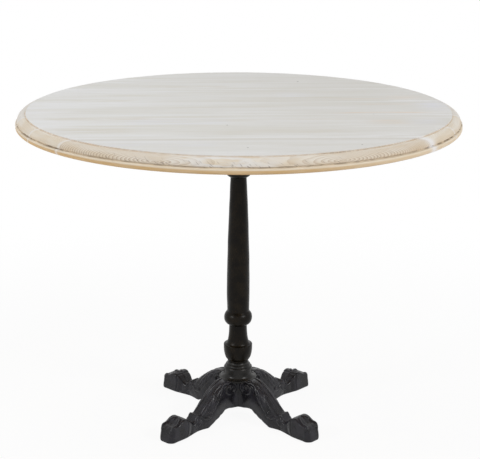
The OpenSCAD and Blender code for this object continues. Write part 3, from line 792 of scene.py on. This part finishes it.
# The collar's outline: an upright rim, a hollow, a band and three stepped rings with round shoulders
def collarOutline():
    c = SimpleNamespace(**collar)
    low, high = seatHeight / mm, collarTop
    wide = collarRadius / mm
    step = (c.band - c.neck) / 3
    tops = high - np.cumsum(c.steps)
    cove = low + c.rim
    rows = [
        [(wide - c.edge, low), (wide, low + c.edge), (wide, cove - 0.4), (wide - 0.4, cove)],
        arc(wide - 0.6, cove + c.cove, wide - c.band - 0.6, c.cove - 0.3, 270, 182, 22),
        [(c.band, tops[2] - 0.5)],
        arc(c.band - step, tops[2], step, c.rounds[2], 2, 86, 12),
        arc(c.band - 2 * step, tops[1], step, c.rounds[1], 2, 86, 12),
        arc(c.band - 3 * step, tops[0], step, c.rounds[0], 2, 90, 12),
        [(c.spigot, high), (c.spigot, high + c.spigotHeight)],
    ]
    return np.concatenate([np.array(r, float) for r in rows]), low, high + c.spigotHeight


outline, foot, high = collarOutline()
turnedCollar = turnedCasting("turned_collar", outline, collar["rodHole"], foot, high)
belongs(turnedCollar, "table", "cast_iron", ironMaterial("collar"), "base_collar")
print("column and collar")

# The carved leg, in millimetres: along it from the axis, across it, and up
leg = {
    "reach": 247, "half": 18, "footHalf": 23, "sole": 3, "hubStart": 9, "mitre": -0.15, "bellyEdge": 2.4,
    "toeCorner": 13, "toeFlat": 0.2, "toeLean": 0.17, "ankle": 0.62,
    "bellyGrows": (12, 42),   # where the belly's edge grows to its full radius
    "leanFrom": 0.78,         # share of the reach at which the toe starts to lean back
    "swell": 1.5,             # how far the lower flank swells between the belly and the shoulder
    "swellGrows": (24, 60), "swellFades": (130, 160),
    "scallop": 1.3,           # depth of the scallops along the belly
    "scallopLong": 17, "scallopFirst": 62, "scallopGrows": (55, 68), "scallopFades": (122, 134),
    "corner": 18,             # radius in the corner between two legs
    "carvingGrows": (21, 25), "grooveGrows": (25, 33),   # where carving and its grooves start
    "cuff": (150, 5),         # where the carving fades, and over what half length
    "above": 14,              # how far over the collar's seat the crest may stand beside it
    "uneven": 0.13,           # unevenness of the cast skin
    "rows": 330,
    # outline tables: share of the reach, share of the height from sole to collar
    "crest": [(0, 1.04), (0.18, 1.05), (0.23, 1.05), (0.28, 1.01), (0.35, 0.91), (0.425, 0.76), (0.5, 0.59),
              (0.55, 0.475), (0.585, 0.41), (0.605, 0.45), (0.625, 0.43), (0.645, 0.34), (0.67, 0.30),
              (0.7, 0.335), (0.73, 0.415), (0.775, 0.495), (0.82, 0.52), (0.86, 0.49), (0.91, 0.43),
              (0.96, 0.415), (0.985, 0.38), (1, 0.33)],
    "belly": [(0, 0.28), (0.08, 0.28), (0.14, 0.27), (0.2, 0.30), (0.25, 0.30), (0.3, 0.235),
              (0.375, 0.14), (0.43, 0.07), (0.475, 0.012), (0.53, 0), (1, 0)],
    "flank": [(0, 1), (0.24, 1), (0.38, 1.1), (0.48, 1.05), (0.56, 0.95), (0.62, 0.86)],
    "footFlank": [(0.62, 0.67), (0.68, 0.78), (0.76, 0.94), (0.84, 1), (0.945, 1)],
    "crestHalf": [(0, 0.74), (0.12, 0.65), (0.2, 0.43), (0.3, 0.33), (0.45, 0.33), (0.56, 0.39),
                  (0.61, 0.52), (0.66, 0.43), (0.74, 0.65), (0.83, 0.78), (0.94, 0.78), (1, 0.3)],
    "shoulder": [(0, 0.02), (0.12, 0.065), (0.2, 0.13), (0.3, 0.185), (0.45, 0.175), (0.56, 0.13),
                 (0.62, 0.1), (0.7, 0.075), (0.8, 0.055), (1, 0.045)],
}

# Carving on a flank: each line is a smooth path of (distance from the axis, height), the half widths at its two
# ends, how far it stands up, and the depth of the groove beside it
flankLines = [
    # leaf stem: from the scroll out and down under the beaded band
    ([(51, 94.5), (59, 96), (67, 93), (76, 87), (85, 80), (94, 71), (102, 61), (109, 50), (114, 42)],
     4.6, 3.4, 2.4, 0.4),
    # leaf lobes, each hanging from the stem
    ([(73, 86), (78, 76), (87, 67)], 5.2, 3.2, 2.1, 0.4),
    ([(86, 76), (90, 64), (99, 54)], 5.2, 3.2, 2.2, 0.4),
    ([(98, 63), (101, 51), (110, 41)], 5.0, 3.2, 2.1, 0.4),
    # hem of the leaf: down from the cuff along the ankle and curled up at its end
    ([(147, 40), (140, 36), (133, 32), (126, 29), (119, 29), (114, 33), (114, 38), (118, 40)],
     3.2, 3.6, 2.6, 0.5),
    # folds on the ankle
    ([(150, 35), (157, 29), (165, 21)], 3.4, 2.8, 1.6, 0.3),
    ([(143, 27), (150, 20), (158, 12)], 3.4, 2.8, 1.6, 0.3),
    # line along the lower edge of the beaded band
    ([(50, 103), (60, 101), (72, 96), (84, 88.5), (95, 79.5), (106, 68), (116, 56), (125, 46)],
     1.8, 1.6, 1.1, 0.3),
]
# Carving on the crest: paths of (distance from the axis, distance from the middle)
crestLines = [
    ([(46, 12.5), (55, 10.5), (70, 8.6), (90, 7.8), (110, 7.8), (126, 8.4), (138, 9.4)], 2.6, 2.4, 1.5, 0.3),
    ([(243, 15), (238, 16.5), (228, 16.5), (217, 15), (208, 11.5), (203, 6), (201, 0)], 3.0, 3.2, 1.2, 0.3),
    ([(242, 0), (242, 8), (240.5, 14)], 3.2, 2.8, 1.0, 0.1),
]
scroll = {
    "centre": (42.5, 81),
    "wide": 1.2, "tall": 0.95,       # how it is stretched along the leg and up
    "wire": 3.1, "thins": 0.85,      # half width at its start, and the share that is left at its end
    "stands": 3.2, "moat": 0.9,
    "fullness": 0.6,                 # under 1 the wire is rounder than a cosine
    "eye": 3.8, "eyeStands": 2.88, "eyeMoat": 0.6,
    # radius of the spiral by its angle in degrees
    "spiral": [(62, 15.6), (120, 15), (180, 14.6), (270, 14.2), (360, 13), (450, 8), (520, 4.6)],
}
beads = {
    "from": (64, 101.5), "to": (106, 82.5), "sag": -4.8, "count": 8, "long": 5.5, "half": 1.5, "stands": 1.3,
    "moat": 0.5,
}
# The plate on the side of the foot: a hollow before it, a groove along its edge and a step outwards, all bowed
# towards the ankle
plate = {
    "at": 191, "step": 2.5, "stands": 0.9, "fades": (205, 220), "eases": 0.5,
    "hollow": (176, 6, 1.8),         # place, half length, depth
    "groove": (190, 1.6, 1.1),
    "bow": 3, "bowMiddle": 34, "bowHalf": 22,
    "grows": (5, 9),                 # heights over which it starts above the sole
}
saddle = {"at": (226, 9, 2.2), "above": (34, 40), "across": (9, 15)}


# Half of the leg's skin, from the middle of the underside up one flank to the middle of the crest. Rows are
# cross-sections at even distances from the axis, closer round the toe; the width, crest and belly of each come
# from the outline tables, and a quarter ellipse joins flank and crest. The toe leans back as it rises, and an
# arc fills the corner between two legs. Returns the points, where each part's columns start, and that filling
def legSkin():
    g = SimpleNamespace(**leg)
    reach, corner = g.reach, g.toeCorner
    bodyEnd = reach - corner
    tip = bodyEnd + corner * np.sin(np.radians(np.arange(4, 84, 4)))
    x = np.concatenate([np.linspace(g.hubStart, bodyEnd, g.rows), tip, [reach - g.toeFlat]])[:, None]
    s = x / reach
    tall = seatHeight / mm - g.sole
    crest = g.sole + tall * curve(s, g.crest)
    low = g.sole + tall * np.maximum(curve(s, g.belly), 0)
    into = np.maximum(x - bodyEnd, 0)
    toeHalf = g.footHalf - corner + np.sqrt(np.maximum(corner**2 - into**2, 0))
    near = np.clip(g.half + g.corner - x, 0, g.corner)
    fill = g.corner - np.sqrt(g.corner**2 - near**2)
    alongLeg = g.half * curve(s, g.flank) + fill
    alongFoot = np.minimum(g.footHalf * curve(s, g.footFlank), toeHalf)
    blend = ease(s, g.ankle - 0.015, g.ankle + 0.015)
    width = np.minimum(x - g.mitre, alongLeg + (alongFoot - alongLeg) * blend)
    crestHalf = np.minimum(g.footHalf * curve(s, g.crestHalf), width - 0.5)
    drop = tall * curve(s, g.shoulder)

    edge = g.bellyEdge * ease(x, *g.bellyGrows) + 0.15
    scallops = np.abs(np.sin(pi * (x - g.scallopFirst) / g.scallopLong))
    scallops = scallops * ease(x, *g.scallopGrows) * (1 - ease(x, *g.scallopFades))
    low = low - g.scallop * scallops
    q = np.linspace(0, 1, 9)[None, :-1]
    under = (width - edge) * q, low + 0 * q
    a = np.radians(np.linspace(-90, 0, 5))[None, :]
    bevel = width - edge + edge * np.cos(a), low + edge + edge * np.sin(a)
    q = np.linspace(0, 1, 50)[None, 1:-1]
    bulge = g.swell * np.sin(pi * q) ** 1.5 * ease(x, *g.swellGrows) * (1 - ease(x, *g.swellFades))
    flankFoot, flankTop = low + edge, crest - drop
    flank = width + bulge, flankFoot + (flankTop - flankFoot) * q
    a = np.radians(np.linspace(0, 90, 34))[None, :]
    shoulder = crestHalf + (width - crestHalf) * np.cos(a), crest - drop + drop * np.sin(a)
    q = np.linspace(1, 0, 16)[None, 1:]
    crown = crestHalf * q, crest + 0.1 * (1 - q**2)
    t, z = (np.concatenate(part, 1) for part in zip(under, bevel, flank, shoulder, crown))
    lean = g.toeLean * (z - g.sole) * np.maximum((s - g.leanFrom) / (1 - g.leanFrom), 0) ** 2
    first = under[0].shape[1] + bevel[0].shape[1]
    marks = {"flank": first, "shoulder": first + flank[0].shape[1], "crown": t.shape[1] - crown[0].shape[1]}
    return np.stack([x + 0 * t - lean, t, z], -1), marks, fill


# Outward directions of a grid of points: the cross product of its two tangents
def outward(points):
    du = np.gradient(points, axis=0)
    dv = np.gradient(points, axis=1)
    n = np.cross(dv, du)
    return n / np.maximum(np.linalg.norm(n, axis=-1, keepdims=True), 1e-9)


# How far each skin point is from a path laid on the skin: the least distance to a point of the path, over the
# half width there, which runs evenly from first to last. The path's points are found on the skin by two of
# their coordinates, the first less what fills the corner
def pathDistance(skin, path, first, last, axes, columns, fill=0):
    flat = (skin[:, columns] - fill * np.array([1, 0, 0])).reshape(-1, 3)
    spots = smoothPath(path)
    gaps = (flat[None, :, axes[0]] - spots[:, None, 0]) ** 2 + (flat[None, :, axes[1]] - spots[:, None, 1]) ** 2
    laid = skin[:, columns].reshape(-1, 3)[np.argmin(gaps, 1)]
    half = np.linspace(first, last, len(laid))
    best = np.full(skin.shape[:2], 99.0)
    reach = 2.2 * max(first, last)
    rows = (skin[:, 0, 0] > laid[:, 0].min() - reach - 12) & (skin[:, 0, 0] < laid[:, 0].max() + reach + 12)
    for spot, width in zip(laid, half):
        away = np.sqrt(((skin[rows] - spot) ** 2).sum(-1)) / width
        best[rows] = np.minimum(best[rows], away)
    return best


# Height of a line and depth of the grooves along it, by distance in half widths: a quarter turn's cosine to the
# power of the fullness, and beyond 0.9 a half turn's sine squared
def ridge(away, height, moat, fullness=1):
    line = height * np.cos(pi / 2 * np.clip(away, 0, 1)) ** fullness
    side = -moat * np.sin(pi * np.clip((away - 0.9) / 0.9, 0, 1)) ** 2
    return line, side


# A whole leg as points, faces and end caps: the skin raised along its outward directions by the highest carved
# line and the deepest groove at each point, then kept clear of collar, floor and the next leg, and mirrored
def carvedLeg():
    skin, marks, fill = legSkin()
    fill = fill[..., None]
    flank = slice(marks["flank"], marks["crown"])
    crown = slice(marks["shoulder"], None)
    up = np.zeros(skin.shape[:2])
    down = np.zeros(skin.shape[:2])

    def add(away, height, moat, fullness=1):
        nonlocal up, down
        line, side = ridge(away, height, moat, fullness)
        up = np.maximum(up, line)
        down = np.minimum(down, side)

    for path, first, last, height, moat in flankLines:
        add(pathDistance(skin, path, first, last, (0, 2), flank, fill), height, moat)
    for path, first, last, height, moat in crestLines:
        add(pathDistance(skin, path, first, last, (0, 1), crown), height, moat)

    # the scroll: an inward spiral from the stem over the top to the seam, down, round and in to its eye
    turn = np.radians(np.arange(62, 520, 12))
    radius = curve(np.degrees(turn), scroll["spiral"])
    cx, cz = scroll["centre"]
    wide, tall = scroll["wide"] * radius, scroll["tall"] * radius
    path = np.stack([cx + wide * np.cos(turn), cz + tall * np.sin(turn)], 1)
    away = pathDistance(skin, path, scroll["wire"], scroll["wire"] * scroll["thins"], (0, 2), flank, fill)
    add(away, scroll["stands"], scroll["moat"], scroll["fullness"])
    eye = [(cx - 1, cz - 0.5), (cx + 0.5, cz)]
    away = pathDistance(skin, eye, scroll["eye"], scroll["eye"], (0, 2), flank, fill)
    add(away, scroll["eyeStands"], scroll["eyeMoat"])

    # a row of beads between the two lines of the band
    start, end = np.array(beads["from"]), np.array(beads["to"])
    for share in np.linspace(0, 1, beads["count"]):
        x, z = start + (end - start) * share
        z = z + beads["sag"] * share * (share - 1)
        bead = [(x - 1.2, z + 1.8), (x + 0.6, z - beads["long"] / 2)]
        away = pathDistance(skin, bead, beads["half"], beads["half"], (0, 2), flank)
        add(away, beads["stands"], beads["moat"])

    x, z = skin[..., 0], skin[..., 2]
    side = ease(z, *plate["grows"]) * (skin[..., 1] > 3)
    bow = plate["bow"] * ((z - plate["bowMiddle"]) / plate["bowHalf"]) ** 2
    raised = plate["stands"] * ease(x, plate["at"] + bow, plate["at"] + plate["step"] + bow)
    raised = raised - plate["eases"] * ease(x, *plate["fades"])
    for place, half, deep in (plate["hollow"], plate["groove"]):
        raised = raised - deep * bell(x, place + bow, half)
    # a saddle across the top of the toe
    place, half, deep = saddle["at"]
    hollow = deep * bell(x, place, half) * ease(z, *saddle["above"])
    hollow = hollow * (1 - ease(skin[..., 1], *saddle["across"]))

    normal = outward(skin)
    relief = up + down * (1 - np.clip(up / 0.8, 0, 1)) + side * raised - hollow
    relief = relief * (1 - 0.85 * bell(x, *leg["cuff"]) * ease(z, 30, 38))
    relief = relief * np.where(relief > 0, ease(x, *leg["carvingGrows"]), ease(x, *leg["grooveGrows"]))
    skin = skin + normal * relief[..., None]

    # slow unevenness of the cast skin
    x, t, z = skin[..., 0], skin[..., 1], skin[..., 2]
    uneven = np.sin(x / 6.1 + z / 9) + np.sin(z / 4.7 - x / 13 + t / 5) + 0.6 * np.sin(x / 3.3 - z / 3.9)
    skin = skin + normal * (leg["uneven"] * uneven * ease(x, 20, 40))[..., None]

    # under the collar the crest stays below its seat; flanks stay on their side of the mitre; soles stay flat
    x, t, z = skin[..., 0], skin[..., 1], skin[..., 2]
    away = np.hypot(x, t)
    rim = collarRadius / mm
    z = np.minimum(z, seatHeight / mm + leg["above"] * ease(away, rim + 0.4, rim + 3))
    t = np.minimum(np.minimum(t, x - leg["mitre"]), leg["footHalf"])
    t[:, [0, -1]] = 0
    x = np.minimum(x, leg["reach"] - leg["toeFlat"])
    z = np.maximum(z, leg["sole"])
    skin = np.stack([x, t, z], -1)

    mirrored = skin[:, -2:0:-1] * [1, -1, 1]
    ring = np.concatenate([skin, mirrored], 1) * mm
    rows, columns = ring.shape[:2]
    caps = [np.arange(columns), (np.arange(columns) + (rows - 1) * columns)[::-1]]
    return ring, gridFaces(rows, columns, loopColumns=True), caps


# Wells in the leg's underside, in millimetres: x, y, radius, from and to what height
wells = {
    "nut": (0, 0, 16, -1, 50),
    "bolt": (31, 0, 6.97, -1, 43.48),
    "boltHole": (31, 0, 3.1, 40, 96),
    "glide": (209, 0, 8.0, -1, 7.9),
    "glideHole": (209, 0, 4.1, 5, 35.7),
}


# Sinks the wells into the leg's underside, each a cylinder that is cut away
def withWells(piece):
    cutters = bmesh.new()
    for x, y, radius, low, high in wells.values():
        at = Matrix.Translation(Vector((x, y, (low + high) / 2)) * mm)
        bmesh.ops.create_cone(cutters, cap_ends=True, segments=40, radius1=radius * mm, radius2=radius * mm,
                              depth=(high - low) * mm, matrix=at)
    mesh = bpy.data.meshes.new("well_cutters")
    cutters.to_mesh(mesh)
    cutters.free()
    cutter = added("well_cutters", mesh)
    cut = piece.modifiers.new("wells", "BOOLEAN")
    cut.operation = "DIFFERENCE"
    cut.solver = "EXACT"
    cut.use_self = True
    cut.object = cutter
    graph = bpy.context.evaluated_depsgraph_get()
    done = bpy.data.meshes.new_from_object(piece.evaluated_get(graph))
    piece.modifiers.clear()
    piece.data = done
    bpy.data.objects.remove(cutter)
    done.validate()
    done.shade_smooth()
    done.set_sharp_from_angle(angle=radians(50))


pattern = makePiece("leg_pattern", *carvedLeg(), smoothTo=50)
withWells(pattern)
print("leg pattern:", len(pattern.data.polygons), "faces")
legIron = ironMaterial("legs")
for place, angle in {"back_right": 45, "back_left": 135, "front_left": 225, "front_right": 315}.items():
    mesh = pattern.data.copy()
    mesh.transform(Matrix.Rotation(radians(angle), 4, "Z"))
    belongs(added("carved_leg_" + place, mesh), "table", "cast_iron", legIron, "leg_" + place)
bpy.data.objects.remove(pattern)
print("legs: four")


# The frame's own parts, by how their names start. All the others are plated steel
plated = steelMaterial()
finishes = {
    "spider_bracket": ironMaterial("bracket"),
    "joint_tongues": tongueMaterial(),
    "glide_pad": nylonMaterial(),
}
for name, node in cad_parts.items():
    finish = next((f for start, f in finishes.items() if name.startswith(start)), plated)
    node.data.materials.clear()
    node.data.materials.append(finish)
print("frame parts finished")


camera = {
    "place": (-0.0918, -3.0747, 1.3586),
    "down": 16.19,           # degrees below the horizon
    "aside": -1.777,         # degrees turned left of straight ahead, so this is to the right
    "roll": 0.253,           # degrees about the line of sight
    "lens": 102.13,
}
view = bpy.data.cameras.new("camera")
view.lens = camera["lens"]
view.sensor_width = 36
view.sensor_fit = "HORIZONTAL"
viewer = added("camera", view)
viewer.location = camera["place"]
aim = Matrix.Rotation(radians(camera["aside"]), 4, "Z") @ Matrix.Rotation(radians(90 - camera["down"]), 4, "X")
viewer.rotation_euler = (aim @ Matrix.Rotation(radians(camera["roll"]), 4, "Z")).to_euler()
bpy.context.scene.camera = viewer

lamps = {
    # name: place, watts, size in metres
    "key": ((3.0, -2.4, 2.8), 80, 1.0),
    "fill": ((-3.3, -2.0, 2.1), 54, 1.0),
    "over": ((-0.6, 0.6, 3.4), 20, 1.6),
}
for name, (place, watts, size) in lamps.items():
    light = bpy.data.lights.new(name, "AREA")
    light.shape = "SQUARE"
    light.size = size
    light.energy = watts
    lamp = added(name, light)
    lamp.location = place
    lamp.rotation_euler = (Vector((0, 0, 0.5)) - Vector(place)).to_track_quat("-Z", "Y").to_euler()

studio = {
    "ambient": 0.28,                 # the world's strength as light on the object
    "floor": tint(247, 247, 247),
    "half": 20,                      # half the floor's width
    "floorGlow": 0.93,               # share of plain white near the object, where the rest shows its shadow
    "glowGrows": (0.6, 1.8),         # distances over which the floor turns all white
}

world = bpy.data.worlds.new("studio")
world.use_nodes = True
bpy.context.scene.world = world


# The world as the camera, gloss and glass see it is white; as light on the object it is weaker
class WorldTree(Tree):
    def __init__(self, world):
        self.wires = world.node_tree


sky = WorldTree(world)
rays = sky.node("ShaderNodeLightPath", output="Is Camera Ray")
seen = rays.most(rays.output("Is Glossy Ray")).most(rays.output("Is Transmission Ray"))
background = sky.wires.nodes["Background"]
sky.feed(background.inputs["Color"], (1, 1, 1, 1))
sky.feed(background.inputs["Strength"], seen * (1 - studio["ambient"]) + studio["ambient"])

floorMesh = bpy.data.meshes.new("floor")
half = studio["half"]
corners = [(-half, -half, 0), (half, -half, 0), (half, half, 0), (-half, half, 0)]
floorMesh.from_pydata(corners, [], [(0, 1, 2, 3)])
added("floor", floorMesh)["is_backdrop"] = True
ground = Tree("studio_floor")
ground.finish(colour=studio["floor"], roughness=0.9, specular=0)
glow = ground.node("ShaderNodeEmission", None, {"Color": (1, 1, 1, 1), "Strength": 1})
seen = ground.node("ShaderNodeLightPath", output="Is Camera Ray")
seen = seen.most(seen.output("Is Glossy Ray"))
parts = ground.node("ShaderNodeSeparateXYZ", None, {"Vector": ground.place()})
away = (parts * parts + parts.output(1) * parts.output(1)) ** 0.5
share = away.step(*studio["glowGrows"]) * (1 - studio["floorGlow"]) + studio["floorGlow"]
shaded = Wire(ground, ground.shader.outputs[0])
both = ground.node("ShaderNodeMixShader", None, {0: seen * share, 1: shaded, 2: glow})
ground.feed(ground.wires.nodes["Material Output"].inputs["Surface"], both)
floorMesh.materials.append(ground.material)

bpy.context.scene.view_settings.view_transform = "Standard"

low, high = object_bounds()
